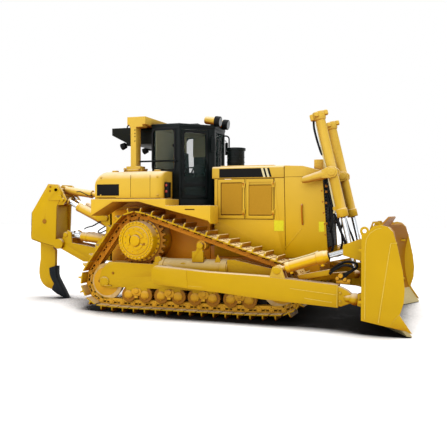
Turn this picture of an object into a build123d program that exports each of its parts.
"""Crawler bulldozer with a raised drive sprocket, a semi-U blade and a single-shank ripper.

Frame: +X is forward, +Y is to the machine's left, +Z is up, in millimetres.
The origin is on the ground, under the middle of the machine's overall box.
Stations in X are given ahead of the sprocket axle and turned into model X by at().
"""

from build123d import *
import os
from math import atan2, cos, degrees, hypot, pi, radians, sin, sqrt

os.makedirs("parts", exist_ok=True)

# ---------------------------------------------------------------- driving dimensions
SEAT = 0.3  # running or seating clearance between neighbouring pieces
DOOR_GAP = 8.0  # gap round a door in its opening
ROD_CLEAR = 0.8  # bore of a barrel over its rod's radius

# Tracks
GAUGE = 2083.0
SHOE_WIDTH = 560.0
SHOE_PITCH = 216.0
SHOE_PLATE = 20.0
GROUSER_HEIGHT = 78.0
GROUSER_THICKNESS = 24.0
PIN_TO_PLATE = 45.0  # link pin to the inner face of a shoe plate
PIN_TO_RAIL = 75.0  # link pin to the rail that the rollers run on
RAIL_THICKNESS = 45.0
RAIL_INSIDE = 45.0  # track centre line to a rail's inner face
SPROCKET_Z = 1306.0
SPROCKET_PITCH_R = 468.0
SPROCKET_TEETH = 27
SPROCKET_THICKNESS = 70.0
SPROCKET_BORE_R = 330.5
REAR_IDLER = (-690.0, 530.0)
FRONT_IDLER = (2640.0, 540.0)
IDLER_R = 300.0
IDLER_WIDTH = 170.0
ROLLER_R = 100.0
ROLLER_STATIONS = (-195.0, 135.0, 455.0, 785.0, 1105.0, 1435.0, 1765.0, 2095.0)
CARRIER_X = 1250.0
CARRIER_R = 90.0

# Track roller frames
FRAME_PLATE = 60.0
FRAME_PLATE_INSIDE = 95.5  # track centre line to a frame plate's inner face
FRAME_BOTTOM = 440.0
RECOIL_R = 190.0
RECOIL_Z = 800.0
RECOIL_REAR = 430.0
RECOIL_FRONT = 1700.0
PIVOT_SHAFT = (300.0, 650.0)
PIVOT_SHAFT_R = 110.0
EQUALIZER = (2000.0, 640.0)
EQUALIZER_SIZE = 130.0

# Body
BELLY_Z = 556.0
FRAME_HALF = 540.0
CASE_HALF = 555.0
FRAME_RAIL = 130.0
FRAME_TOP = 1200.0
CASE_REAR = -900.0
CASE_FRONT = 1150.0
DECK_Z = 1930.0
HOOD_HALF = 565.0
PANEL = 20.0
HOOD_REAR = 1190.0
PANEL_REAR = HOOD_REAR + 50  # rear edge of the side panels under the hood
HOOD_STEP = 2300.0
HOOD_FRONT = 2550.0
HOOD_TOP = 2650.0
HOOD_RAISE = 30.0
HOOD_SIDE_LOW = 2430.0
PANEL_LOW = 1010.0
DOOR_LOW = 1700.0
DOOR_HIGH = 2412.0
HINGE_R = 9.0
HINGE_PIN_R = 4.0
HINGE_KNUCKLE = 70.0  # height of a door's knuckle
HINGE_LEAF = 24.0  # height of the fixed knuckle above it
HINGE_OUT = 16.0  # hinge axis outside the face that a door closes on
ENGINE_DOORS = ((1305.0, 1815.0), (1845.0, 2365.0))  # rear and front edge of each door
GUARD_TOP_FRONT = 3220.0
GUARD_FOOT_FRONT = 3330.0
GUARD_PLATE = 30.0
GUARD_NOSE_Z = 2540.0
GRILLE_THICKNESS = 40.0

# Cab
CAB_REAR = 90.0
CAB_DOOR_REAR = 640.0
CAB_FRONT = 1140.0
CAB_HALF = 800.0
CAB_NOSE_HALF = 290.0
CAB_WALL = 45.0
CAB_FLOOR = DECK_Z
CAB_ROOF = 3385.0
CAB_ROOF_THICKNESS = 60.0
CAB_SILL = 2620.0
GLASS = 8.0

# Fenders, tanks and roll bar
FENDER_OUT = 1400.0
FENDER_IN = CAB_HALF + 2.0
FENDER_REAR = -850.0
FENDER_FRONT = 1465.0
FENDER_STEP = 630.0
STEP_FRONT = 1285.0  # front edge of the step between hood and fender
STEP_OUT = 1000.0
FENDER_TOP = 2050.0
TANK_REAR = -740.0
TANK_FRONT = 510.0
TANK_OUT = 1320.0
TANK_IN = 830.0
TANK_TOP = 2550.0
ROPS_HALF = 1020.0
ROPS_POST = 200.0
RAIL_Y = ROPS_HALF - ROPS_POST + 40  # hand rail beside the cab
ROPS_LOW = 3420.0
ROPS_TOP = 3565.0

# Blade
BLADE_HALF = 1970.0
BLADE_TIP = 4380.0  # cutting edge at the centre, ahead of the sprocket axle
WING_START = 1150.0
WING_FORWARD = 420.0
BLADE_CLEAR = 12.0  # edge above the ground, so that the tracks carry the machine
EDGE_THICKNESS = 40.0
END_PLATE = 40.0
ARM_WIDTH = 220.0
ARM_IN = GAUGE / 2 + SHOE_WIDTH / 2 + 78.5
ARM_OUT = ARM_IN + ARM_WIDTH
ARM_Y = (ARM_IN + ARM_OUT) / 2
TRUNNION = (600.0, 730.0)
TRUNNION_R = 90.0
BALL = (3920.0, 480.0)
BALL_R = 95.0

# Blade cylinders
LIFT_Y = 640.0
LIFT_PIVOT = (3409.0, 2500.0)
LIFT_EYE = (3840.0, 700.0)
LIFT_BARREL_R = 84.0
LIFT_ROD_R = 45.0
LIFT_ABOVE = 1065.0  # barrel above its trunnion
LIFT_BELOW = 785.0  # barrel below its trunnion
LUG_IN = LIFT_BARREL_R + 21.0  # cylinder middle to a blade lug's inner face
LUG_PLATE = 40.0
OPEN_PIN = 5.0  # end play of a rod pin between its lugs
TILT_Y = ARM_Y
TILT_REAR = (2680.0, 880.0)
TILT_FRONT = (3800.0, 1225.0)
TILT_BARREL_R = 85.0
TILT_ROD_R = 45.0

# Ripper
RIPPER_LINK_REAR = (-2300.0, 1160.0)
RIPPER_LINK_FRONT = (-1180.0, 1000.0)
RIPPER_UPPER_REAR = (-2340.0, 2280.0)
RIPPER_UPPER_FRONT = (-1220.0, 2120.0)
RIPPER_LIFT_BASE = (-1100.0, 1545.0)
RIPPER_LIFT_EYE = (-2200.0, 2070.0)
RIPPER_LOWER_BASE = (-1120.0, 1230.0)
RIPPER_LOWER_EYE = (-2120.0, 1345.0)
RIPPER_BARREL_R = 95.0
RIPPER_ROD_R = 50.0
RIPPER_LIFT_Y = 140.0
RIPPER_LOWER_Y = 120.0
LINK_IN = 176.0
LINK_OUT = 221.0
CARRIAGE_HALF = 278.0
CARRIAGE_PLATE = 50.0
CARRIAGE_REAR = -2980.0
SHANK_HALF = 45.0
PIN_R = 40.0

# The overall box runs from the ripper carriage to the blade's outer corners
BLADE_CORNER = BLADE_TIP + WING_FORWARD * (BLADE_HALF - END_PLATE - SEAT - WING_START) / (BLADE_HALF - WING_START)
SPROCKET_X = -(CARRIAGE_REAR + BLADE_CORNER) / 2  # model X of the sprocket axle


# ---------------------------------------------------------------- helpers
def at(ahead):
    """Model X of a station given ahead of the sprocket axle."""
    return SPROCKET_X + ahead


def slab(outline, y_low, y_high, mode=Mode.ADD):
    """Add or cut a plate whose XZ outline spans two Y stations."""
    with BuildSketch(Plane.XZ.offset(-y_high)) as face:
        with BuildLine():
            Polyline(*[(at(x), z) for x, z in outline], close=True)
        make_face()
    extrude(face.sketch, amount=y_high - y_low, mode=mode)


def block(x_span, y_span, z_span, mode=Mode.ADD):
    """Add or cut a box given by its spans, X ahead of the sprocket axle."""
    middle = (at(sum(x_span) / 2), sum(y_span) / 2, sum(z_span) / 2)
    with Locations(middle):
        Box(x_span[1] - x_span[0], y_span[1] - y_span[0], z_span[1] - z_span[0], mode=mode)


def drum(place, radius, y_low, y_high, mode=Mode.ADD):
    """Add or cut a round bar along Y at an (ahead, up) place."""
    with BuildSketch(Plane.XZ.offset(-y_high)) as face:
        with Locations((at(place[0]), place[1])):
            Circle(radius)
    extrude(face.sketch, amount=y_high - y_low, mode=mode)


def bar(start, end, radius, mode=Mode.ADD):
    """Add or cut a round bar between two (ahead, across, up) points."""
    foot = Vector(at(start[0]), start[1], start[2])
    tip = Vector(at(end[0]), end[1], end[2])
    with BuildSketch(Plane(origin=foot, z_dir=tip - foot)) as face:
        Circle(radius)
    extrude(face.sketch, amount=(tip - foot).length, mode=mode)


def beam(start, end, width, depth, mode=Mode.ADD):
    """Add or cut a square bar between two (ahead, across, up) points, width across Y."""
    foot = Vector(at(start[0]), start[1], start[2])
    tip = Vector(at(end[0]), end[1], end[2])
    across = Vector(0, 1, 0)
    with BuildSketch(Plane(origin=foot, x_dir=across, z_dir=tip - foot)) as face:
        Rectangle(width, depth)
    extrude(face.sketch, amount=(tip - foot).length, mode=mode)


def toward(start, end, distance):
    """Point a distance from start towards end, both (ahead, up)."""
    run = hypot(end[0] - start[0], end[1] - start[1])
    share = distance / run
    return (start[0] + (end[0] - start[0]) * share, start[1] + (end[1] - start[1]) * share)


def deep(place, y):
    """An (ahead, up) place as an (ahead, across, up) point."""
    return (place[0], y, place[1])


def upright(place, radius, z_low, z_high, mode=Mode.ADD):
    """Add or cut an upright round bar at a model (X, Y) place."""
    with Locations((place[0], place[1], (z_low + z_high) / 2)):
        Cylinder(radius, z_high - z_low, mode=mode)


def door_knuckle(place, height):
    """Add the door's half of a hinge, bored for the pin, centred on a height."""
    low = height - HINGE_KNUCKLE / 2
    upright(place, HINGE_R, low, low + HINGE_KNUCKLE)
    upright(place, HINGE_PIN_R + SEAT, low - 1, low + HINGE_KNUCKLE + 1, mode=Mode.SUBTRACT)


def frame_knuckle(place, height):
    """Add the frame's half of a hinge with its pin."""
    top = height + HINGE_KNUCKLE / 2
    upright(place, HINGE_R, top + SEAT, top + HINGE_LEAF)
    upright(place, HINGE_PIN_R, height - HINGE_KNUCKLE / 2, top + HINGE_LEAF)


def store(piece, label):
    """Name a finished piece and write its STEP file."""
    piece.part.label = label
    export_step(piece.part, f"parts/{label}.step")


# ---------------------------------------------------------------- track path
GROUND_PIN_Z = GROUSER_HEIGHT + SHOE_PLATE + PIN_TO_PLATE
ROLLER_Z = GROUND_PIN_Z + PIN_TO_RAIL + ROLLER_R
IDLER_PIN_R = IDLER_R + PIN_TO_RAIL
ROLLER_PIN_R = ROLLER_R + PIN_TO_RAIL

# Wheels that the chain wraps, clockwise seen from the machine's right: (ahead, up, pin radius)
CHAIN_WHEELS = (
    (0.0, SPROCKET_Z, SPROCKET_PITCH_R),
    (*FRONT_IDLER, IDLER_PIN_R),
    (ROLLER_STATIONS[-1], ROLLER_Z, ROLLER_PIN_R),
    (ROLLER_STATIONS[0], ROLLER_Z, ROLLER_PIN_R),
    (*REAR_IDLER, IDLER_PIN_R),
)


def outward(first, second):
    """Unit normal of the chain's straight run from one wheel to the next."""
    run_x = second[0] - first[0]
    run_z = second[1] - first[1]
    run = hypot(run_x, run_z)
    lean = (first[2] - second[2]) / run
    side = sqrt(1 - lean * lean)
    return ((lean * run_x - side * run_z) / run, (lean * run_z + side * run_x) / run)


CHAIN_NORMALS = [outward(CHAIN_WHEELS[i], CHAIN_WHEELS[(i + 1) % 5]) for i in range(5)]


def chain_face(growth, mode=Mode.ADD):
    """Face inside the chain path grown outwards from the link pins."""
    with BuildLine() as path:
        for i, (x, z, r) in enumerate(CHAIN_WHEELS):
            radius = r + growth
            come = CHAIN_NORMALS[i - 1]
            leave = CHAIN_NORMALS[i]
            middle = Vector(come[0] + leave[0], come[1] + leave[1]).normalized()
            follower = CHAIN_WHEELS[(i + 1) % 5]
            reach = follower[2] + growth
            start = (at(x) + radius * come[0], z + radius * come[1])
            crown = (at(x) + radius * middle.X, z + radius * middle.Y)
            end = (at(x) + radius * leave[0], z + radius * leave[1])
            landing = (at(follower[0]) + reach * leave[0], follower[1] + reach * leave[1])
            ThreePointArc(start, crown, end)
            Line(end, landing)
    make_face(path.edges(), mode=mode)


def chain_stations():
    """Evenly spaced pin places along the chain, each (x, z, outward angle in degrees)."""
    pieces = []
    for i, (x, z, r) in enumerate(CHAIN_WHEELS):
        come = atan2(CHAIN_NORMALS[i - 1][1], CHAIN_NORMALS[i - 1][0])
        leave = atan2(CHAIN_NORMALS[i][1], CHAIN_NORMALS[i][0])
        turn = (come - leave) % (2 * pi)
        follower = CHAIN_WHEELS[(i + 1) % 5]
        run = sqrt((follower[0] - x) ** 2 + (follower[1] - z) ** 2 - (r - follower[2]) ** 2)
        pieces.append(("arc", r * turn, x, z, r, come))
        pieces.append(("run", run, x, z, r, leave))
    length = sum(piece[1] for piece in pieces)
    count = round(length / SHOE_PITCH)
    stations = []
    for shoe in range(count):
        along = shoe * length / count
        for kind, span, x, z, r, angle in pieces:
            if along < span:
                break
            along -= span
        if kind == "arc":
            angle -= along / r
            place = (x + r * cos(angle), z + r * sin(angle))
        else:
            place = (x + r * cos(angle) + along * sin(angle), z + r * sin(angle) - along * cos(angle))
        stations.append((at(place[0]), place[1], degrees(angle)))
    return stations


# ---------------------------------------------------------------- undercarriage
TRACK_Y = GAUGE / 2
TRACK_INNER = TRACK_Y - SHOE_WIDTH / 2


def track(side):
    """One chain with its shoes: rails, shoe plates and grousers in one loop."""
    middle = side * TRACK_Y
    plate_top = PIN_TO_PLATE + SHOE_PLATE
    with BuildPart() as loop:
        with BuildSketch(Plane.XZ.offset(-(middle + SHOE_WIDTH / 2))):
            chain_face(plate_top)
            chain_face(PIN_TO_PLATE, mode=Mode.SUBTRACT)
            for x, z, angle in chain_stations():
                mid = plate_top + GROUSER_HEIGHT / 2 - 1
                place = (x + mid * cos(radians(angle)), z + mid * sin(radians(angle)))
                with Locations(Location((place[0], place[1], 0), (0, 0, angle))):
                    Rectangle(GROUSER_HEIGHT + 2, GROUSER_THICKNESS)
        extrude(amount=SHOE_WIDTH)
        for rail in (middle + RAIL_INSIDE + RAIL_THICKNESS, middle - RAIL_INSIDE):
            with BuildSketch(Plane.XZ.offset(-rail)) as rails:
                chain_face(PIN_TO_PLATE + 1)
                chain_face(-PIN_TO_RAIL, mode=Mode.SUBTRACT)
            extrude(rails.sketch, amount=RAIL_THICKNESS)
    return loop


right_track = track(-1)
store(right_track, "right_track")
left_track = track(1)
store(left_track, "left_track")

TOOTH_ROOT_R = SPROCKET_PITCH_R - 38
TOOTH_TIP_R = SPROCKET_PITCH_R + 30
with BuildSketch() as tooth:
    with BuildLine():
        Polyline((0, -32), (TOOTH_TIP_R - TOOTH_ROOT_R, -14), (TOOTH_TIP_R - TOOTH_ROOT_R, 14), (0, 32), close=True)
    make_face()
with BuildPart() as sprockets:
    with BuildSketch(Plane.XZ.offset(TRACK_Y - SPROCKET_THICKNESS / 2)):
        with Locations((SPROCKET_X, SPROCKET_Z)):
            Circle(TOOTH_ROOT_R)
            with PolarLocations(TOOTH_ROOT_R - 5, SPROCKET_TEETH):
                add(tooth.sketch)
            Circle(SPROCKET_BORE_R, mode=Mode.SUBTRACT)
    extrude(amount=SPROCKET_THICKNESS)
    mirror(about=Plane.XZ)
store(sprockets, "sprockets")

# Final drives: (radius, inner Y, outer Y) of each step of the housing and cover
HUB_FLANGE_R = 385.0
HUB_STEPS = (
    (380.0, CASE_HALF, TRACK_Y - SPROCKET_THICKNESS / 2),
    (SPROCKET_BORE_R - SEAT, TRACK_Y - SPROCKET_THICKNESS / 2, TRACK_Y + SPROCKET_THICKNESS / 2),
    (HUB_FLANGE_R, TRACK_Y + SPROCKET_THICKNESS / 2, TRACK_Y + SPROCKET_THICKNESS / 2 + 30),
    (345.0, TRACK_Y + SPROCKET_THICKNESS / 2 + 30, 1285.0),
    (250.0, 1285.0, 1300.0),
    (95.0, 1300.0, 1335.0),
)
with BuildPart() as final_drives:
    for radius, inner, outer in HUB_STEPS:
        drum((0.0, SPROCKET_Z), radius, -outer, -inner)
    mirror(about=Plane.XZ)
store(final_drives, "final_drives")

PLATE_IN = TRACK_Y - FRAME_PLATE_INSIDE - FRAME_PLATE
PLATE_OUT = TRACK_Y + FRAME_PLATE_INSIDE + FRAME_PLATE
with BuildPart() as idlers:
    for place in (REAR_IDLER, FRONT_IDLER):
        drum(place, IDLER_R - SEAT, -TRACK_Y - IDLER_WIDTH / 2, -TRACK_Y + IDLER_WIDTH / 2)
        drum(place, 95.0, -TRACK_Y - FRAME_PLATE_INSIDE, -TRACK_Y + FRAME_PLATE_INSIDE)
    mirror(about=Plane.XZ)
store(idlers, "idlers")

with BuildPart() as track_rollers:
    for station in ROLLER_STATIONS:
        drum((station, ROLLER_Z), ROLLER_R - SEAT, -TRACK_Y - 92, -TRACK_Y + 92)
        drum((station, ROLLER_Z), 55.0, -TRACK_Y - FRAME_PLATE_INSIDE, -TRACK_Y + FRAME_PLATE_INSIDE)
    mirror(about=Plane.XZ)
store(track_rollers, "track_rollers")

# Side plates of the roller frame, (ahead, up)
REAR_PLATE = ((-600, 905), (RECOIL_REAR + 20, 880), (RECOIL_REAR + 20, FRAME_BOTTOM), (-420, FRAME_BOTTOM),
              (-560, 410), (-770, 440), (-805, 560), (-740, 760))
FRONT_PLATE = ((RECOIL_FRONT, 1000), (1830, 1000), (2780, 810), (2830, 560), (2740, 440),
               (2560, 420), (2300, FRAME_BOTTOM), (RECOIL_FRONT, FRAME_BOTTOM))
INNER_LOW = -TRACK_Y + FRAME_PLATE_INSIDE
OUTER_HIGH = -TRACK_Y - FRAME_PLATE_INSIDE
with BuildPart() as roller_frames:
    for plate_low in (-PLATE_OUT, INNER_LOW):
        slab(REAR_PLATE, plate_low, plate_low + FRAME_PLATE)
        slab(FRONT_PLATE, plate_low, plate_low + FRAME_PLATE)
        for first, second in zip(ROLLER_STATIONS[::2], ROLLER_STATIONS[1::2]):
            bogie = ((first - 70, ROLLER_Z - 45), (first + 70, ROLLER_Z - 45), (first + 110, ROLLER_Z + 10),
                     (second - 110, ROLLER_Z + 10), (second - 70, ROLLER_Z - 45), (second + 70, ROLLER_Z - 45),
                     (second + 40, FRAME_BOTTOM + 5), (first - 40, FRAME_BOTTOM + 5))
            slab(bogie, plate_low, plate_low + FRAME_PLATE)
        block((RECOIL_REAR, RECOIL_FRONT), (plate_low, plate_low + FRAME_PLATE), (FRAME_BOTTOM, 640))
    block((-330, RECOIL_REAR + 20), (OUTER_HIGH, INNER_LOW), (FRAME_BOTTOM, 780))
    block((RECOIL_REAR, RECOIL_FRONT), (OUTER_HIGH, INNER_LOW), (FRAME_BOTTOM + 20, 630))
    block((RECOIL_FRONT, 2290), (OUTER_HIGH, INNER_LOW), (FRAME_BOTTOM, 830))
    bar((RECOIL_REAR, -TRACK_Y, RECOIL_Z), (RECOIL_FRONT, -TRACK_Y, RECOIL_Z), RECOIL_R)
    mirror(about=Plane.XZ)
store(roller_frames, "roller_frames")

TOP_NORMAL = CHAIN_NORMALS[0]
TOP_START = (SPROCKET_PITCH_R * TOP_NORMAL[0], SPROCKET_Z + SPROCKET_PITCH_R * TOP_NORMAL[1])
TOP_SLOPE = -TOP_NORMAL[0] / TOP_NORMAL[1]
CARRIER_DROP = PIN_TO_RAIL + CARRIER_R + SEAT
CARRIER = (CARRIER_X - CARRIER_DROP * TOP_NORMAL[0],
           TOP_START[1] + TOP_SLOPE * (CARRIER_X - TOP_START[0]) - CARRIER_DROP * TOP_NORMAL[1])
with BuildPart() as carrier_rollers:
    drum(CARRIER, CARRIER_R, -TRACK_Y - 92, -TRACK_Y + 92)
    drum(CARRIER, 45.0, OUTER_HIGH, -TRACK_Y + 92)
    mirror(about=Plane.XZ)
store(carrier_rollers, "carrier_rollers")

with BuildPart() as carrier_brackets:
    foot_z = RECOIL_Z + sqrt(RECOIL_R ** 2 - 60 ** 2)
    post = ((CARRIER[0] - 150, foot_z), (CARRIER[0] + 60, foot_z), (CARRIER[0] + 60, foot_z + 145),
            (CARRIER[0] + 45, foot_z + 160), (CARRIER[0] + 45, CARRIER[1]), (CARRIER[0] - 45, CARRIER[1]),
            (CARRIER[0] - 75, foot_z + 160), (CARRIER[0] - 150, foot_z + 145))
    slab(post, -PLATE_OUT, OUTER_HIGH)
    drum(CARRIER, 58, -PLATE_OUT - 20, OUTER_HIGH)
    block((CARRIER[0] - 150, CARRIER[0] + 60), (-PLATE_OUT, -TRACK_Y), (foot_z - 40, foot_z + 40))
    bar((RECOIL_REAR, -TRACK_Y, RECOIL_Z), (RECOIL_FRONT, -TRACK_Y, RECOIL_Z), RECOIL_R + SEAT,
        mode=Mode.SUBTRACT)
    mirror(about=Plane.XZ)
store(carrier_brackets, "carrier_brackets")

with BuildPart() as pivot_shafts:
    drum(PIVOT_SHAFT, PIVOT_SHAFT_R, -PLATE_IN + SEAT, -CASE_HALF)
    drum(PIVOT_SHAFT, PIVOT_SHAFT_R + 60, -CASE_HALF - 60, -CASE_HALF)
    mirror(about=Plane.XZ)
store(pivot_shafts, "pivot_shafts")

HALF_BAR = EQUALIZER_SIZE / 2
with BuildPart() as equalizer_bar:
    block((EQUALIZER[0] - HALF_BAR, EQUALIZER[0] + HALF_BAR), (-PLATE_IN, PLATE_IN),
          (EQUALIZER[1] - HALF_BAR, EQUALIZER[1] + HALF_BAR))
store(equalizer_bar, "equalizer_bar")

# ---------------------------------------------------------------- body
with BuildPart() as rear_case:
    block((CASE_REAR, CASE_FRONT), (-CASE_HALF, CASE_HALF), (BELLY_Z, DECK_Z - 5))
    chamfer(rear_case.edges().filter_by(Axis.Y).group_by(Axis.Z)[0].sort_by(Axis.X)[0], 220)
store(rear_case, "rear_case")

NOSE_X = 3180.0
with BuildPart() as main_frame:
    rail_outline = ((CASE_FRONT, BELLY_Z), (NOSE_X - 250, BELLY_Z), (NOSE_X, BELLY_Z + 200), (NOSE_X, FRAME_TOP),
                    (CASE_FRONT, FRAME_TOP))
    slab(rail_outline, -FRAME_HALF, -FRAME_HALF + FRAME_RAIL)
    slab(rail_outline, FRAME_HALF - FRAME_RAIL, FRAME_HALF)
    block((CASE_FRONT, NOSE_X - 250), (-FRAME_HALF, FRAME_HALF), (BELLY_Z, BELLY_Z + 30))
    block((NOSE_X - 120, NOSE_X), (-FRAME_HALF, FRAME_HALF), (BELLY_Z + 200, FRAME_TOP))
    block((EQUALIZER[0] - 160, EQUALIZER[0] + 160), (-FRAME_HALF, FRAME_HALF), (BELLY_Z, EQUALIZER[1] + 160))
    block((EQUALIZER[0] - HALF_BAR - SEAT, EQUALIZER[0] + HALF_BAR + SEAT), (-FRAME_HALF - 1, FRAME_HALF + 1),
          (EQUALIZER[1] - HALF_BAR - SEAT, EQUALIZER[1] + HALF_BAR + SEAT), mode=Mode.SUBTRACT)
store(main_frame, "main_frame")

with BuildPart() as engine_block:
    block((1400, 2450), (-FRAME_HALF + 60, FRAME_HALF - 60), (FRAME_TOP, 2300))
store(engine_block, "engine_block")

with BuildPart() as radiator:
    block((2640, 2820), (-FRAME_HALF + 10, FRAME_HALF - 10), (FRAME_TOP, 2480))
store(radiator, "radiator")

GUARD_SIDE = ((HOOD_FRONT, PANEL_LOW), (GUARD_FOOT_FRONT, PANEL_LOW), (GUARD_TOP_FRONT, GUARD_NOSE_Z),
              (2880, HOOD_TOP - 20), (HOOD_FRONT, HOOD_TOP - 5))
GUARD_HOLLOW = ((HOOD_FRONT - 1, PANEL_LOW - 1), (GUARD_FOOT_FRONT + 9, PANEL_LOW - 1),
                (GUARD_TOP_FRONT + 9, GUARD_NOSE_Z - GUARD_PLATE - 20), (2870, HOOD_TOP - 20 - GUARD_PLATE),
                (HOOD_FRONT - 1, HOOD_TOP - 5 - GUARD_PLATE))
GUARD_IN = FRAME_HALF
with BuildPart() as radiator_guard:
    slab(GUARD_SIDE, -GUARD_IN - GUARD_PLATE, GUARD_IN + GUARD_PLATE)
    slab(GUARD_HOLLOW, -GUARD_IN, GUARD_IN, mode=Mode.SUBTRACT)
store(radiator_guard, "radiator_guard")


def guard_front(z, back):
    """Station on the guard's leaning front at a height, set back from it."""
    share = (z - PANEL_LOW) / (GUARD_NOSE_Z - PANEL_LOW)
    return GUARD_FOOT_FRONT + (GUARD_TOP_FRONT - GUARD_FOOT_FRONT) * share - back


GRILLE_LOW = FRAME_TOP + 5
GRILLE_HIGH = GUARD_NOSE_Z - GUARD_PLATE - 30
with BuildPart() as front_grille:
    face = ((guard_front(GRILLE_LOW, 12), GRILLE_LOW), (guard_front(GRILLE_HIGH, 12), GRILLE_HIGH),
            (guard_front(GRILLE_HIGH, 12 + GRILLE_THICKNESS), GRILLE_HIGH),
            (guard_front(GRILLE_LOW, 12 + GRILLE_THICKNESS), GRILLE_LOW))
    slab(face, -GUARD_IN, GUARD_IN)
store(front_grille, "front_grille")

with BuildPart() as hood:
    block((HOOD_REAR, HOOD_FRONT), (-HOOD_HALF, HOOD_HALF), (HOOD_SIDE_LOW, HOOD_TOP))
    fillet(hood.edges().filter_by(Axis.X).group_by(Axis.Z)[-1], 55)
    block((HOOD_REAR, HOOD_FRONT), (-HOOD_HALF + PANEL, HOOD_HALF - PANEL), (HOOD_SIDE_LOW - 1, HOOD_TOP - PANEL),
          mode=Mode.SUBTRACT)
    block((HOOD_REAR + 80, HOOD_STEP), (-330, 330), (HOOD_TOP - 5, HOOD_TOP + HOOD_RAISE))
store(hood, "hood")

ENGINE_HINGES = (DOOR_LOW + 120, DOOR_HIGH - 120)


def engine_hinge(side, front):
    """Model (X, Y) of an engine door's hinge axis."""
    return (at(front + DOOR_GAP / 2), side * (HOOD_HALF + HINGE_OUT))


with BuildPart() as engine_side_panels:
    block((PANEL_REAR, HOOD_FRONT), (-HOOD_HALF, -HOOD_HALF + PANEL), (PANEL_LOW, HOOD_SIDE_LOW))
    for rear, front in ENGINE_DOORS:
        block((rear - DOOR_GAP, front + DOOR_GAP), (-HOOD_HALF - 1, -HOOD_HALF + PANEL + 1),
              (DOOR_LOW - DOOR_GAP, DOOR_HIGH + DOOR_GAP), mode=Mode.SUBTRACT)
        for height in ENGINE_HINGES:
            top = height + HINGE_KNUCKLE / 2
            block((front + DOOR_GAP / 2, front + DOOR_GAP + 16), (-HOOD_HALF - HINGE_OUT, -HOOD_HALF + 1),
                  (top + SEAT, top + HINGE_LEAF))
            frame_knuckle(engine_hinge(-1, front), height)
    mirror(about=Plane.XZ)
store(engine_side_panels, "engine_side_panels")


def engine_door(side, rear, front):
    """Door leaf with a raised frame, and hinge knuckles ahead of its front edge."""
    outer = side * (HOOD_HALF + 6)
    inner = side * (HOOD_HALF - PANEL)
    with BuildPart() as door:
        block((rear, front), sorted((inner, outer)), (DOOR_LOW, DOOR_HIGH))
        block((rear + 55, front - 55), sorted((side * (HOOD_HALF - 6), side * (HOOD_HALF + 7))),
              (DOOR_LOW + 55, DOOR_HIGH - 55), mode=Mode.SUBTRACT)
        for height in ENGINE_HINGES:
            block((front - 40, front + 2), sorted((side * (HOOD_HALF + 5), side * (HOOD_HALF + HINGE_OUT))),
                  (height - 30, height + 30))
            door_knuckle(engine_hinge(side, front), height)
    return door


DOOR_TABLE = (
    ("right_rear_engine_door", -1, ENGINE_DOORS[0]),
    ("right_front_engine_door", -1, ENGINE_DOORS[1]),
    ("left_rear_engine_door", 1, ENGINE_DOORS[0]),
    ("left_front_engine_door", 1, ENGINE_DOORS[1]),
)
for label, side, edges in DOOR_TABLE:
    leaf = engine_door(side, *edges)
    store(leaf, label)

STACK = (1465.0, 0.0)
with BuildPart() as precleaner:
    with Locations((at(STACK[0]), STACK[1], (HOOD_TOP + HOOD_RAISE + 2985) / 2)):
        Cylinder(165, 2985 - HOOD_TOP - HOOD_RAISE)
    with Locations((at(STACK[0]), STACK[1], 3010)):
        Cylinder(188, 50)
store(precleaner, "precleaner")

# ---------------------------------------------------------------- fenders, tanks and roll bar
with BuildPart() as fenders:
    arch = ((FENDER_REAR, FENDER_TOP), (FENDER_STEP, FENDER_TOP), (FENDER_STEP, DECK_Z), (FENDER_FRONT, DECK_Z),
            (FENDER_FRONT, 1615), (1420, 1670), (110, 2000), (-400, 2000), (FENDER_REAR, 1745))
    slab(arch, -FENDER_OUT, -FENDER_IN)
    block((STEP_FRONT, FENDER_FRONT + 1), (-STEP_OUT, -FENDER_IN + 1), (1600, DECK_Z + 1), mode=Mode.SUBTRACT)
    block((CASE_REAR + 50, CAB_DOOR_REAR), (-TRACK_INNER + SEAT, -CASE_HALF), (DECK_Z - 60, DECK_Z))
    block((CAB_DOOR_REAR, STEP_FRONT), (-FENDER_IN - 1, -HOOD_HALF), (DECK_Z - 60, DECK_Z))
    block((CAB_DOOR_REAR, CASE_FRONT), (-HOOD_HALF - 1, -CASE_HALF), (DECK_Z - 60, DECK_Z))
    mirror(about=Plane.XZ)
store(fenders, "fenders")


def side_tank(side):
    """Tank with a large round on its outer top edge and a small one up its front corner."""
    with BuildPart() as tank:
        block((TANK_REAR, TANK_FRONT), sorted((side * TANK_IN, side * TANK_OUT)), (FENDER_TOP, TANK_TOP))
        outer_group = 0 if side < 0 else -1
        top = tank.edges().filter_by(Axis.X).group_by(Axis.Z)[-1].group_by(Axis.Y)[outer_group]
        fillet(top, 175)
        front = tank.edges().filter_by(Axis.Z).group_by(Axis.X)[-1].group_by(Axis.Y)[outer_group]
        fillet(front, 40)
    return tank


right_tank = side_tank(-1)
store(right_tank, "hydraulic_tank")
left_tank = side_tank(1)
store(left_tank, "tool_box")

with BuildPart() as fuel_tank:
    block((FENDER_REAR, CAB_REAR - 40), (-FENDER_IN + SEAT, FENDER_IN - SEAT), (DECK_Z, 2480))
    fillet(fuel_tank.edges().filter_by(Axis.Y).group_by(Axis.Z)[-1].sort_by(Axis.X)[0], 90)
store(fuel_tank, "fuel_tank")

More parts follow.
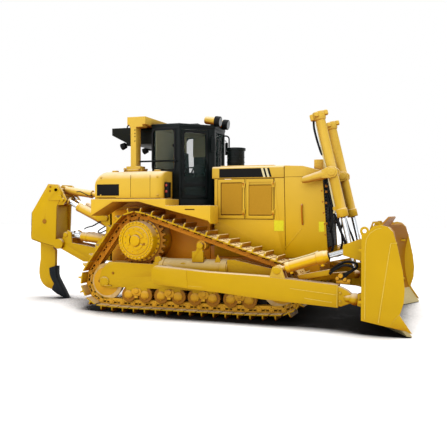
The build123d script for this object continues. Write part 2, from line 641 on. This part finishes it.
POST_X = (-240.0, -130.0)
with BuildPart() as roll_bar:
    for side in (-1, 1):
        near = sorted((side * (ROPS_HALF - ROPS_POST), side * ROPS_HALF))
        block(POST_X, near, (TANK_TOP + 30, ROPS_LOW + 5))
        wide = sorted((side * (ROPS_HALF - ROPS_POST - 12), side * (ROPS_HALF + 25)))
        block((POST_X[0] - 130, POST_X[1] + 130), wide, (TANK_TOP, TANK_TOP + 50))
        block((POST_X[0] - 90, POST_X[1] + 90), near, (TANK_TOP + 45, TANK_TOP + 110))
        block((POST_X[0] - 25, POST_X[1] + 130), near, (ROPS_LOW - 45, ROPS_LOW + 5))
    block((-310, 60), (-ROPS_HALF, ROPS_HALF), (ROPS_LOW, ROPS_TOP))
store(roll_bar, "roll_bar")

with BuildPart() as air_conditioner:
    box_front = CAB_REAR - SEAT
    box = ((-850, 3430), (-315, 3430), (-315, CAB_ROOF - 5), (box_front, CAB_ROOF - 5), (box_front, 3110),
           (-480, 3110), (-850, 3295))
    slab(box, -620, 620)
    block((-335, -305), (-620, 620), (ROPS_LOW - 50, ROPS_LOW - 5))
store(air_conditioner, "air_conditioner")

# ---------------------------------------------------------------- cab
# Half plan of the cab, (ahead, across), from the rear wall to the nose
CAB_PLAN = ((CAB_REAR, CAB_HALF), (CAB_DOOR_REAR, CAB_HALF), (CAB_FRONT, CAB_NOSE_HALF))


def cab_plan(inset):
    """Points of the whole cab plan, moved inwards by an inset."""
    lean = atan2(CAB_HALF - CAB_NOSE_HALF, CAB_FRONT - CAB_DOOR_REAR)
    back = inset * (1 / cos(lean) - sin(lean) / cos(lean))
    half = [
        (CAB_REAR + inset, CAB_HALF - inset),
        (CAB_DOOR_REAR - inset * (1 - cos(lean)) / sin(lean), CAB_HALF - inset),
        (CAB_FRONT - inset, CAB_NOSE_HALF - inset * (1 - sin(lean)) / cos(lean)),
    ]
    return [(at(x), -y) for x, y in half] + [(at(x), y) for x, y in reversed(half)]


DOOR_RUN = Vector(CAB_FRONT - CAB_DOOR_REAR, CAB_HALF - CAB_NOSE_HALF)
DOOR_LEAN = degrees(atan2(DOOR_RUN.Y, DOOR_RUN.X))
DOOR_LENGTH = DOOR_RUN.length
DOOR_START = 50.0  # hinge edge along the slanted side
DOOR_END = DOOR_LENGTH - 130.0  # short of the hood's corner as the door swings past it
CAB_DOOR_LOW = FENDER_TOP + 15.0
CAB_DOOR_HIGH = CAB_ROOF - 55.0


def slanted(side):
    """Plane on the slanted cab side: x runs forward along it, y up, z outwards from the cab."""
    corner = Vector(at(CAB_DOOR_REAR), side * CAB_HALF, 0)
    run = Vector(DOOR_RUN.X, -side * DOOR_RUN.Y, 0).normalized()
    out = Vector(run.Y * -side, run.X * side, 0)
    return Plane(origin=corner, x_dir=run, z_dir=out)


def slanted_panel(side, x_span, z_span, depth_span, mode=Mode.ADD):
    """Box on the slanted side: along it, up it, and between two depths (positive is outwards)."""
    base = slanted(side)
    flip = 1 if base.y_dir.Z > 0 else -1
    with BuildSketch(base.offset(depth_span[0])) as face:
        with Locations((sum(x_span) / 2, flip * sum(z_span) / 2)):
            Rectangle(x_span[1] - x_span[0], z_span[1] - z_span[0])
    extrude(face.sketch, amount=depth_span[1] - depth_span[0], mode=mode)


CAB_HINGES = (CAB_DOOR_LOW + 150, CAB_DOOR_HIGH - 150)


def cab_hinge(side):
    """Model (X, Y) of a cab door's hinge axis."""
    place = slanted(side).from_local_coords((DOOR_START - DOOR_GAP / 2, 0, HINGE_OUT))
    return (place.X, place.Y)


SIDE_WINDOW = (CAB_REAR + 45, CAB_DOOR_REAR - 95)
REAR_WINDOW_HALF = 620.0
WINDSCREEN_HALF = CAB_NOSE_HALF - 55.0
with BuildPart() as cab_frame:
    with BuildSketch(Plane.XY.offset(CAB_FLOOR)):
        with BuildLine():
            Polyline(*cab_plan(0), close=True)
        make_face()
    extrude(amount=CAB_ROOF - CAB_FLOOR)
    with BuildSketch(Plane.XY.offset(CAB_FLOOR + 40)) as inside:
        with BuildLine():
            Polyline(*cab_plan(CAB_WALL), close=True)
        make_face()
    extrude(inside.sketch, amount=CAB_ROOF - CAB_FLOOR, mode=Mode.SUBTRACT)
    block(SIDE_WINDOW, (-CAB_HALF - 1, CAB_HALF + 1), (CAB_SILL, CAB_ROOF - 55), mode=Mode.SUBTRACT)
    block((CAB_REAR - 1, CAB_REAR + CAB_WALL + 1), (-REAR_WINDOW_HALF, REAR_WINDOW_HALF),
          (CAB_SILL, CAB_ROOF - 60), mode=Mode.SUBTRACT)
    block((CAB_FRONT - CAB_WALL - 1, CAB_FRONT + 1), (-WINDSCREEN_HALF, WINDSCREEN_HALF),
          (CAB_SILL, CAB_ROOF - 60), mode=Mode.SUBTRACT)
    for side in (-1, 1):
        slanted_panel(side, (DOOR_START - DOOR_GAP, DOOR_END + DOOR_GAP),
                      (CAB_DOOR_LOW - DOOR_GAP, CAB_DOOR_HIGH + DOOR_GAP), (-CAB_WALL * 1.6, 1), Mode.SUBTRACT)
        for height in CAB_HINGES:
            top = height + HINGE_KNUCKLE / 2
            slanted_panel(side, (DOOR_START - DOOR_GAP - 22, DOOR_START - DOOR_GAP / 2),
                          (top + SEAT, top + HINGE_LEAF), (-1, HINGE_OUT))
            frame_knuckle(cab_hinge(side), height)
store(cab_frame, "cab_frame")

with BuildPart() as cab_roof:
    with BuildSketch(Plane.XY.offset(CAB_ROOF)):
        with BuildLine():
            Polyline(*cab_plan(-12), close=True)
        make_face()
    extrude(amount=CAB_ROOF_THICKNESS)
    fillet(cab_roof.edges().group_by(Axis.Z)[-1], 22)
    block((370, 790), (-260, 260), (CAB_ROOF + CAB_ROOF_THICKNESS - 5, CAB_ROOF + CAB_ROOF_THICKNESS + 60))
    block((60, CAB_REAR), (-520, 520), (CAB_ROOF - 5, CAB_ROOF + 20), mode=Mode.SUBTRACT)
store(cab_roof, "cab_roof")

PANE = GLASS / 2
with BuildPart() as cab_glass:
    for side in (-1, 1):
        middle = side * (CAB_HALF - CAB_WALL / 2)
        block((SIDE_WINDOW[0] + SEAT, SIDE_WINDOW[1] - SEAT), (middle - PANE, middle + PANE),
              (CAB_SILL + SEAT, CAB_ROOF - 55 - SEAT))
    for middle, half in ((CAB_REAR + CAB_WALL / 2, REAR_WINDOW_HALF), (CAB_FRONT - CAB_WALL / 2, WINDSCREEN_HALF)):
        block((middle - PANE, middle + PANE), (-half + SEAT, half - SEAT), (CAB_SILL + SEAT, CAB_ROOF - 60 - SEAT))
store(cab_glass, "cab_glass")

DOOR_THICKNESS = 40.0
DOOR_FRAME = 48.0
DOOR_PANE_LOW = CAB_DOOR_LOW + 60.0
for label, side in (("right_cab_door", -1), ("left_cab_door", 1)):
    with BuildPart() as cab_door:
        slanted_panel(side, (DOOR_START, DOOR_END), (CAB_DOOR_LOW, CAB_DOOR_HIGH), (-DOOR_THICKNESS, 0))
        slanted_panel(side, (DOOR_START + DOOR_FRAME, DOOR_END - DOOR_FRAME),
                      (DOOR_PANE_LOW, CAB_DOOR_HIGH - DOOR_FRAME), (-DOOR_THICKNESS - 1, 1), Mode.SUBTRACT)
        slanted_panel(side, (DOOR_START + DOOR_FRAME - 1, DOOR_END - DOOR_FRAME + 1), (2300, 2350),
                      (-DOOR_THICKNESS, 0))
        slanted_panel(side, (DOOR_END - 44, DOOR_END - 14), (2640, 2780), (-2, 26))
        for height in CAB_HINGES:
            slanted_panel(side, (DOOR_START - 3, DOOR_START + 40), (height - 30, height + 30), (-1, HINGE_OUT))
            door_knuckle(cab_hinge(side), height)
    store(cab_door, label)
    with BuildPart() as door_glass:
        for low, high in ((DOOR_PANE_LOW, 2300), (2350, CAB_DOOR_HIGH - DOOR_FRAME)):
            slanted_panel(side, (DOOR_START + DOOR_FRAME + SEAT, DOOR_END - DOOR_FRAME - SEAT),
                          (low + SEAT, high - SEAT), (-DOOR_THICKNESS / 2 - PANE, -DOOR_THICKNESS / 2 + PANE))
    store(door_glass, f"{label}_glass")

SEAT_X = (330.0, 800.0)
with BuildPart() as operator_seat:
    block((SEAT_X[0] + 60, SEAT_X[1] - 60), (-170, 170), (CAB_FLOOR + 40, 2240))
    block(SEAT_X, (-250, 250), (2240, 2370))
    back = ((SEAT_X[0], 2330), (SEAT_X[0] + 120, 2330), (SEAT_X[0] + 60, 3020), (SEAT_X[0] - 50, 3020))
    slab(back, -240, 240)
    for side in (-1, 1):
        block((SEAT_X[0] + 20, SEAT_X[1] - 60), sorted((side * 255, side * 330)), (2500, 2570))
        block((SEAT_X[0] + 40, SEAT_X[0] + 120), sorted((side * 235, side * 330)), (2330, 2505))
store(operator_seat, "operator_seat")

with BuildPart() as control_console:
    dash = ((930, CAB_FLOOR + 40), (CAB_FRONT - CAB_WALL - 5, CAB_FLOOR + 40), (CAB_FRONT - CAB_WALL - 5, 2560),
            (1010, 2640), (930, 2500))
    slab(dash, -200, 200)
    for across, lean in ((-395, 60), (395, 60)):
        bar((560, across, CAB_FLOOR + 42), (560 + lean, across, 2560), 16)
        with Locations((at(560 + lean), across, 2580)):
            Sphere(34)
store(control_console, "control_console")

with BuildPart() as work_lamps:
    for across in (-230, 230):
        bar((945, across, 3585), (1090, across, 3548), 60)
        bar((1085, across, 3549), (1165, across, 3529), 80)
        bar((1040, across, CAB_ROOF + CAB_ROOF_THICKNESS), (1040, across, 3510), 14)
    for across in (-470, 470):
        bar((-640, across, 3110), (-720, across, 3080), 55)
        bar((-640, across, 3120), (-640, across, 3182.5), 14)
store(work_lamps, "work_lamps")

GRAB_X = 1242.0
GRAB_Y = 260.0
with BuildPart() as hand_rails:
    for side in (-1, 1):
        across = side * RAIL_Y
        bar((POST_X[1], across, 2755), (CAB_DOOR_REAR - 60, across, 2755), 16)
        bar((CAB_DOOR_REAR - 60, side * (RAIL_Y + 15), 2755), (CAB_DOOR_REAR - 60, side * CAB_HALF, 2755), 16)
    with BuildLine() as grab_path:
        grab_top = Line((at(CAB_FRONT), GRAB_Y, 3310), (at(GRAB_X - 70), GRAB_Y, 3310))
        grab_bend = TangentArc(grab_top @ 1, (at(GRAB_X), GRAB_Y, 3240), tangent=grab_top % 1)
        Line(grab_bend @ 1, (at(GRAB_X), GRAB_Y, HOOD_TOP))
    with BuildSketch(Plane(origin=grab_top @ 0, z_dir=grab_top % 0)) as grab_ring:
        Circle(14)
    sweep(grab_ring.sketch, path=grab_path.wire())
store(hand_rails, "hand_rails")

# ---------------------------------------------------------------- blade
def blade_section(y):
    """Section of the mouldboard at a Y station, as (ahead, up) corner and arc points."""
    forward = WING_FORWARD * max(0.0, (abs(y) - WING_START) / (BLADE_HALF - WING_START))
    tip = BLADE_TIP + forward
    return {
        "edge_top": (tip - 205, 300.0),
        "hollow": (tip - 300, 880.0),
        "top": (tip - 135, 1580.0),
        "top_back": (tip - 215, 1600.0),
        "high_back": (tip - 385, 1330.0),
        "low_back": (tip - 415, 420.0),
        "foot_back": (tip - 300, 220.0),
        "foot": (tip - 165, 240.0),
    }


def blade_face(y):
    """Sketch of the mouldboard section at a Y station."""
    section = {name: (at(x), z) for name, (x, z) in blade_section(y).items()}
    with BuildSketch(Plane.XZ.offset(-y)) as face:
        with BuildLine():
            ThreePointArc(section["edge_top"], section["hollow"], section["top"])
            Polyline(section["top"], section["top_back"], section["high_back"], section["low_back"],
                     section["foot_back"], section["foot"], section["edge_top"])
        make_face()
    return face


def edge_face(y):
    """Sketch of the cutting edge at a Y station."""
    section = blade_section(y)
    tip_x = section["edge_top"][0] + 205
    low = BLADE_CLEAR
    with BuildSketch(Plane.XZ.offset(-y)) as face:
        with BuildLine():
            Polyline((at(tip_x), low), (at(tip_x - 204.5), 300.0), (at(tip_x - 164.5), 239.7),
                     (at(tip_x - 250), 227.0), (at(tip_x - 75), low), close=True)
        make_face()
    return face


with BuildPart() as blade:
    center = blade_face(WING_START)
    extrude(center.sketch, amount=2 * WING_START)
    wing_inner = blade_face(-WING_START)
    wing_outer = blade_face(-BLADE_HALF + END_PLATE)
    loft([wing_inner.sketch.face(), wing_outer.sketch.face()], ruled=True)
    end = ((4050, 215), (4690, 95), (4775, 60), (4600, 320), (4655, 500), (4668, 700), (4640, 950), (4560, 1330),
           (4500, 1530), (4420, 1610), (4320, 1630), (4220, 1610), (4130, 1515), (4050, 1500))
    crest = end[6:12] + ((4220, 1800), (4900, 1800), (4900, 950))
    slab(crest, -BLADE_HALF + END_PLATE - 1, -WING_START - 1, mode=Mode.SUBTRACT)
    slab(end, -BLADE_HALF, -BLADE_HALF + END_PLATE)
    # spill guard, leaning forward over the middle of the blade
    top = blade_section(0)["top"]
    with BuildSketch(Plane(origin=(at(top[0] - 30), 0, top[1] - 10), x_dir=(0, 1, 0), z_dir=(1, 0, -0.75))) as guard:
        with BuildLine():
            Polyline((-1080, 0), (1080, 0), (1080, 90), (800, 220), (-800, 220), (-1080, 90), close=True)
        make_face()
    extrude(guard.sketch, amount=28)
    # lugs of the lift cylinders
    for across in (-LIFT_Y - LUG_IN - LUG_PLATE, -LIFT_Y + LUG_IN):
        slab(((LIFT_EYE[0] - 75, 610), (3985, 560), (3985, 860), (LIFT_EYE[0] - 75, 790)), across, across + LUG_PLATE)
    # ball socket of the push arm, tilt cylinder bracket and brace bracket
    ball_plate = blade_section(ARM_OUT)["low_back"][0] + 54.3
    slab(((BALL[0] + BALL_R - 50, 390), (ball_plate, 330), (ball_plate, 640), (BALL[0] + BALL_R - 50, 570)),
         -ARM_OUT - 80, -ARM_OUT + 80)
    with Locations((at(BALL[0]), -ARM_OUT, BALL[1])):
        Sphere(BALL_R + SEAT, mode=Mode.SUBTRACT)
    tilt_plate = blade_section(TILT_Y)["low_back"][0] + 81
    for across in (-TILT_Y - 95, -TILT_Y + 55):
        slab(((TILT_FRONT[0] - 70, 1150), (tilt_plate, 1000), (tilt_plate, 1420), (3960, 1400),
              (TILT_FRONT[0] - 70, 1310)), across, across + 40)
    # lifting eyes on the back of the top edge
    for across in (-1400, -480):
        tip = blade_section(across)["top_back"][0]
        eye = ((tip - 150, 1400), (tip + 10, 1600), (tip - 30, 1665), (tip - 100, 1660), (tip - 180, 1440))
        slab(eye, across, across + 30)
        drum((tip - 70, 1605), 26, across - 1, across + 31, mode=Mode.SUBTRACT)
    for height in (470.0, 1240.0):
        slab(((4010, height), (4500, height), (4500, height + 40), (4010, height + 40)), -BLADE_HALF, -ARM_OUT - 100)
    mirror(about=Plane.XZ)
store(blade, "blade")

with BuildPart() as cutting_edge:
    center_edge = edge_face(WING_START)
    extrude(center_edge.sketch, amount=2 * WING_START)
    edge_inner = edge_face(-WING_START)
    edge_outer = edge_face(-BLADE_HALF + END_PLATE + SEAT)
    loft([edge_inner.sketch.face(), edge_outer.sketch.face()], ruled=True)
    mirror(about=Plane.XZ)
store(cutting_edge, "cutting_edge")

# ---------------------------------------------------------------- push arms
ARM_SIDE = ((470, 640), (520, 580), (1000, 540), (1800, 476), (2450, 410), (3660, 335), (3660, 685), (3060, 735),
            (2450, 780), (1456, 815), (520, 890), (470, 830))
BRACE_REAR = (3140.0, -ARM_IN + 5, 760.0)
BRACE_FRONT = (3850.0, -930.0, 800.0)
with BuildPart() as push_arms:
    slab(ARM_SIDE, -ARM_OUT, -ARM_IN)
    drum(TRUNNION, TRUNNION_R + SEAT, -ARM_OUT - 1, -ARM_IN + 1, mode=Mode.SUBTRACT)
    slab(((3650, 350), (3800, 390), (3800, 600), (3650, 670)), -ARM_Y - 80, -ARM_Y - 10)
    bar((3780, -ARM_Y - 60, BALL[1]), (BALL[0] - 20, -ARM_OUT, BALL[1]), 60)
    with Locations((at(BALL[0]), -ARM_OUT, BALL[1])):
        Sphere(BALL_R)
    for across in (-TILT_Y - 95, -TILT_Y + 55):
        slab(((TILT_REAR[0] - 130, 740), (TILT_REAR[0] + 150, 720), (TILT_REAR[0] + 75, 930), (TILT_REAR[0], 965),
              (TILT_REAR[0] - 75, 930)), across, across + 40)
    drum(TILT_REAR, PIN_R, -TILT_Y - 95, -TILT_Y + 95)
    beam(BRACE_REAR, BRACE_FRONT, 80, 105)
    with Locations((at(BRACE_FRONT[0]), BRACE_FRONT[1], BRACE_FRONT[2])):
        Sphere(70)
    mirror(about=Plane.XZ)
store(push_arms, "push_arms")

with BuildPart() as trunnions:
    drum(TRUNNION, TRUNNION_R, -ARM_OUT - 12, -PLATE_OUT)
    drum(TRUNNION, TRUNNION_R + 70, -ARM_IN + 12, -PLATE_OUT)
    drum(TRUNNION, TRUNNION_R + 35, -ARM_OUT - 30, -ARM_OUT - 6)
    bar((RECOIL_REAR, -TRACK_Y, RECOIL_Z), (RECOIL_FRONT, -TRACK_Y, RECOIL_Z), RECOIL_R + SEAT,
        mode=Mode.SUBTRACT)
    mirror(about=Plane.XZ)
store(trunnions, "trunnions")

# ---------------------------------------------------------------- blade cylinders
EYE_HALF = 45.0
with BuildPart() as lift_barrels:
    top = toward(LIFT_PIVOT, LIFT_EYE, -LIFT_ABOVE)
    cap = toward(LIFT_PIVOT, LIFT_EYE, -LIFT_ABOVE + 110)
    foot = toward(LIFT_PIVOT, LIFT_EYE, LIFT_BELOW)
    gland = toward(LIFT_PIVOT, LIFT_EYE, LIFT_BELOW - 120)
    hollow = toward(LIFT_PIVOT, LIFT_EYE, LIFT_BELOW + 1)
    bar(deep(top, -LIFT_Y), deep(foot, -LIFT_Y), LIFT_BARREL_R)
    bar(deep(top, -LIFT_Y), deep(cap, -LIFT_Y), LIFT_BARREL_R + 22)
    bar(deep(gland, -LIFT_Y), deep(foot, -LIFT_Y), LIFT_BARREL_R + 14)
    drum(LIFT_PIVOT, 45, -LIFT_Y - LIFT_BARREL_R - 62, -LIFT_Y + LIFT_BARREL_R + 62)
    drum(LIFT_PIVOT, 80, -LIFT_Y - LIFT_BARREL_R - 12, -LIFT_Y + LIFT_BARREL_R + 12)
    bar(deep(cap, -LIFT_Y), deep(hollow, -LIFT_Y), LIFT_ROD_R + ROD_CLEAR, mode=Mode.SUBTRACT)
    mirror(about=Plane.XZ)
store(lift_barrels, "lift_cylinder_barrels")

with BuildPart() as lift_rods:
    inside = toward(LIFT_EYE, LIFT_PIVOT, 1350)
    neck = toward(LIFT_EYE, LIFT_PIVOT, 40)
    bar(deep(neck, -LIFT_Y), deep(inside, -LIFT_Y), LIFT_ROD_R)
    drum(LIFT_EYE, 78, -LIFT_Y - EYE_HALF, -LIFT_Y + EYE_HALF)
    drum(LIFT_EYE, PIN_R, -LIFT_Y - LUG_IN + OPEN_PIN, -LIFT_Y + LUG_IN - OPEN_PIN)
    mirror(about=Plane.XZ)
store(lift_rods, "lift_cylinder_rods")

YOKE_IN = -LIFT_Y + LIFT_BARREL_R + 16
YOKE_OUT = -LIFT_Y - LIFT_BARREL_R - 16
with BuildPart() as lift_yokes:
    slab(((2890, 2345), (2900, 2425), (3290, 2550), (3290, 2395)), YOKE_OUT - 45, -GUARD_IN - GUARD_PLATE)
    for low in (YOKE_OUT - 45, YOKE_IN):
        slab(((3270, 2395), (3270, 2545), (3400, 2590), (3500, 2570), (3500, 2430), (3400, 2400)), low, low + 45)
    block((3242, 3282), (YOKE_OUT - 45, YOKE_IN + 45), (2395, 2545))
    drum(LIFT_PIVOT, 45 + SEAT, YOKE_OUT - 46, YOKE_IN + 46, mode=Mode.SUBTRACT)
    mirror(about=Plane.XZ)
store(lift_yokes, "lift_cylinder_yokes")

with BuildPart() as tilt_barrels:
    neck = toward(TILT_REAR, TILT_FRONT, 60)
    start = toward(TILT_REAR, TILT_FRONT, 150)
    gland = toward(TILT_REAR, TILT_FRONT, 790)
    collar = toward(TILT_REAR, TILT_FRONT, 700)
    bottom = toward(TILT_REAR, TILT_FRONT, 170)
    bar(deep(neck, -TILT_Y), deep(start, -TILT_Y), EYE_HALF)
    bar(deep(start, -TILT_Y), deep(gland, -TILT_Y), TILT_BARREL_R)
    bar(deep(collar, -TILT_Y), deep(gland, -TILT_Y), TILT_BARREL_R + 16)
    drum(TILT_REAR, 82, -TILT_Y - EYE_HALF, -TILT_Y + EYE_HALF)
    mouth = toward(TILT_REAR, TILT_FRONT, 791)
    bar(deep(bottom, -TILT_Y), deep(mouth, -TILT_Y), TILT_ROD_R + ROD_CLEAR, mode=Mode.SUBTRACT)
    drum(TILT_REAR, PIN_R + SEAT, -TILT_Y - EYE_HALF - 1, -TILT_Y + EYE_HALF + 1, mode=Mode.SUBTRACT)
    mirror(about=Plane.XZ)
store(tilt_barrels, "tilt_cylinder_barrels")

with BuildPart() as tilt_rods:
    inside = toward(TILT_FRONT, TILT_REAR, 800)
    bar(deep(toward(TILT_FRONT, TILT_REAR, 40), -TILT_Y), deep(inside, -TILT_Y), TILT_ROD_R)
    drum(TILT_FRONT, 72, -TILT_Y - EYE_HALF, -TILT_Y + EYE_HALF)
    drum(TILT_FRONT, PIN_R, -TILT_Y - 52, -TILT_Y + 52)
    mirror(about=Plane.XZ)
store(tilt_rods, "tilt_cylinder_rods")

# ---------------------------------------------------------------- ripper
BRACKET_PLATES = ((-520, -470), (-276, -240), (240, 276), (470, 520))
BRACKET_SIDE = ((CASE_REAR, 850), (-1130, 870), (-1290, 960), (-1290, 2180), (-1170, 2230), (CASE_REAR, 2230))
with BuildPart() as ripper_bracket:
    for low, high in BRACKET_PLATES:
        slab(BRACKET_SIDE, low, high)
    block((CASE_REAR - 60, CASE_REAR), (-520, 520), (860, 2200))
    for place in (RIPPER_LINK_FRONT, RIPPER_LOWER_BASE, RIPPER_LIFT_BASE, RIPPER_UPPER_FRONT):
        drum(place, PIN_R, -276, 276)
        drum(place, PIN_R + 35, -292, -276)
        drum(place, PIN_R + 35, 276, 292)
store(ripper_bracket, "ripper_bracket")

LINK_TOP = ((-2320, 1245), (-2200, 1300), (-2120, 1440), (-2040, 1400), (-2020, 1182), (-1180, 1046))
LINK_LOW = ((-1180, 930), (-1450, 800), (-1740, 800), (-2310, 1068), (-2380, 1120))
with BuildPart() as ripper_link:
    for side in (-1, 1):
        slab(LINK_TOP + LINK_LOW, *sorted((side * LINK_IN, side * LINK_OUT)))
        drum(RIPPER_LINK_FRONT, 54, *sorted((side * 60, side * LINK_OUT)))
    slab(((-2200, 1000), (-2120, 1150), (-1330, 1050), (-1400, 830), (-1740, 812)), -LINK_IN - 1, LINK_IN + 1)
    for place, radius in ((RIPPER_LINK_FRONT, PIN_R + SEAT), (RIPPER_LINK_REAR, PIN_R + SEAT)):
        drum(place, radius, -300, 300, mode=Mode.SUBTRACT)
    drum(RIPPER_LINK_FRONT, 150, -59, 59, mode=Mode.SUBTRACT)
store(ripper_link, "ripper_lower_link")

CARRIAGE_SIDE = ((-2545, 2400), (-2310, 2385), (-2190, 2220), (-2235, 2110), (-2345, 1930), (-2380, 1080),
                 (-2705, 1160), (-2965, 1240), (CARRIAGE_REAR, 1320), (-2950, 1810))
SHANK_SLOT = (-2905.0, -2590.0)
SHANK_PIN = (-2640.0, 1620.0)
SHANK_PIN_R = 30.0
with BuildPart() as ripper_carriage:
    for side in (-1, 1):
        slab(CARRIAGE_SIDE, *sorted((side * (CARRIAGE_HALF - CARRIAGE_PLATE), side * CARRIAGE_HALF)))
        slab(((-2540, 2330), (-2300, 2370), (-2225, 2220), (-2235, 2060), (-2540, 2060)),
             *sorted((side * CARRIAGE_HALF, side * (CARRIAGE_HALF + 22))))
        drum(RIPPER_LINK_REAR, 105, *sorted((side * 222.5, side * (CARRIAGE_HALF + 20))))
    block((-2440, -2400), (-CARRIAGE_HALF + 45, CARRIAGE_HALF - 45), (1130, 1940))
    block((-2590 + SEAT, -2550), (-CARRIAGE_HALF + 45, CARRIAGE_HALF - 45), (1130, 2100))
    block((-2960, SHANK_SLOT[0] - SEAT), (-CARRIAGE_HALF + 45, CARRIAGE_HALF - 45), (1260, 1760))
    for side in (-1, 1):
        block(SHANK_SLOT, sorted((side * (SHANK_HALF + SEAT), side * (CARRIAGE_HALF - 45))), (1250, 1420))
        block(SHANK_SLOT, sorted((side * (SHANK_HALF + SEAT), side * (CARRIAGE_HALF - 45))), (1700, 1800))
    drum(RIPPER_UPPER_REAR, PIN_R, -CARRIAGE_HALF - 30, CARRIAGE_HALF + 30)
    for side in (-1, 1):
        drum(RIPPER_LIFT_EYE, PIN_R, *sorted((side * (CARRIAGE_HALF - 20), side * (CARRIAGE_HALF + 30))))
    for side in (-1, 1):
        slab(((-2330, 1960), (-2190, 1960), (-2110, 2070), (-2190, 2200), (-2330, 2200)),
             *sorted((side * 232, side * (CARRIAGE_HALF - 10))))
    drum(RIPPER_LINK_REAR, PIN_R, -CARRIAGE_HALF, CARRIAGE_HALF)
    drum(SHANK_PIN, SHANK_PIN_R + SEAT, -CARRIAGE_HALF - 1, CARRIAGE_HALF + 1, mode=Mode.SUBTRACT)
store(ripper_carriage, "ripper_carriage")

with BuildPart() as ripper_shank:
    shank = ((SHANK_SLOT[0] + SEAT, 1900), (SHANK_SLOT[1] - SEAT, 1900), (SHANK_SLOT[1] - SEAT, 1060),
             (-2545, 1010), (-2552, 680), (-2560, 500), (-2505, 300), (-2430, 190), (-2540, 165), (-2657, 183),
             (-2725, 202), (-2785, 230), (-2845, 277), (-2890, 332), (-2925, 410), (-2943, 512), (-2940, 610),
             (-2930, 697), (-2908, 800), (SHANK_SLOT[0] + SEAT, 1120))
    slab(shank, -SHANK_HALF, SHANK_HALF)
    drum(SHANK_PIN, SHANK_PIN_R, -CARRIAGE_HALF - 12, CARRIAGE_HALF + 12)
store(ripper_shank, "ripper_shank")

with BuildPart() as ripper_tooth:
    tooth = ((-2675, 631), (-2508, 681), (-2510, 590), (-2512, 505), (-2492, 435), (-2455, 370), (-2405, 285),
             (-2330, 165), (-2250, BLADE_CLEAR), (-2305, BLADE_CLEAR), (-2494, 91), (-2612, 165), (-2597, 230),
             (-2556, 300), (-2609, 375), (-2642, 435), (-2662, 494), (-2672, 560))
    slab(tooth, -SHANK_HALF - 32, SHANK_HALF + 32)
    slab(shank, -SHANK_HALF - SEAT, SHANK_HALF + SEAT, mode=Mode.SUBTRACT)
store(ripper_tooth, "ripper_tooth")

with BuildPart() as ripper_upper_link:
    upper_ends = (RIPPER_UPPER_REAR, RIPPER_UPPER_FRONT)
    bar(deep(toward(*upper_ends, 55), 0), deep(toward(*upper_ends, 680), 0), 80)
    bar(deep(toward(*upper_ends, 640), 0), deep(toward(*upper_ends, 690), 0), 84)
    bar(deep(toward(*upper_ends, 670), 0), deep(toward(*upper_ends[::-1], 40), 0), 50)
    for place in (RIPPER_UPPER_FRONT, RIPPER_UPPER_REAR):
        drum(place, 88, -60, 60)
    for place in (RIPPER_UPPER_FRONT, RIPPER_UPPER_REAR):
        drum(place, PIN_R + SEAT, -61, 61, mode=Mode.SUBTRACT)
store(ripper_upper_link, "ripper_upper_cylinder")


def cylinder_pair(base, eye, barrel_length, rod_inside, across, pin_end):
    """Barrels and rods of a pair of cylinders, base end and rod eye given as (ahead, up)."""
    with BuildPart() as barrels:
        for y in (-across, across):
            bar(deep(toward(base, eye, 70), y), deep(toward(base, eye, barrel_length), y), RIPPER_BARREL_R)
            drum(base, 85, y - 40, y + 40)
            bar(deep(toward(base, eye, 160), y), deep(toward(base, eye, barrel_length + 1), y),
                RIPPER_ROD_R + ROD_CLEAR, mode=Mode.SUBTRACT)
            drum(base, PIN_R + SEAT, y - 41, y + 41, mode=Mode.SUBTRACT)
    with BuildPart() as rods:
        for y in (-across, across):
            bar(deep(toward(eye, base, 40), y), deep(toward(eye, base, rod_inside), y), RIPPER_ROD_R)
            drum(eye, 80, y - 40, y + 40)
            drum(eye, PIN_R, *sorted((y - 47 if y > 0 else y + 47, pin_end if y > 0 else -pin_end)))
    return barrels, rods


lift_pair, lift_rod_pair = cylinder_pair(RIPPER_LIFT_BASE, RIPPER_LIFT_EYE, 885.0, 700.0, RIPPER_LIFT_Y,
                                         CARRIAGE_HALF - CARRIAGE_PLATE - OPEN_PIN)
store(lift_pair, "ripper_lift_barrels")
store(lift_rod_pair, "ripper_lift_rods")
lower_pair, lower_rod_pair = cylinder_pair(RIPPER_LOWER_BASE, RIPPER_LOWER_EYE, 640.0, 560.0,
                                           RIPPER_LOWER_Y, LINK_IN - OPEN_PIN)
store(lower_pair, "ripper_lower_barrels")
store(lower_rod_pair, "ripper_lower_rods")
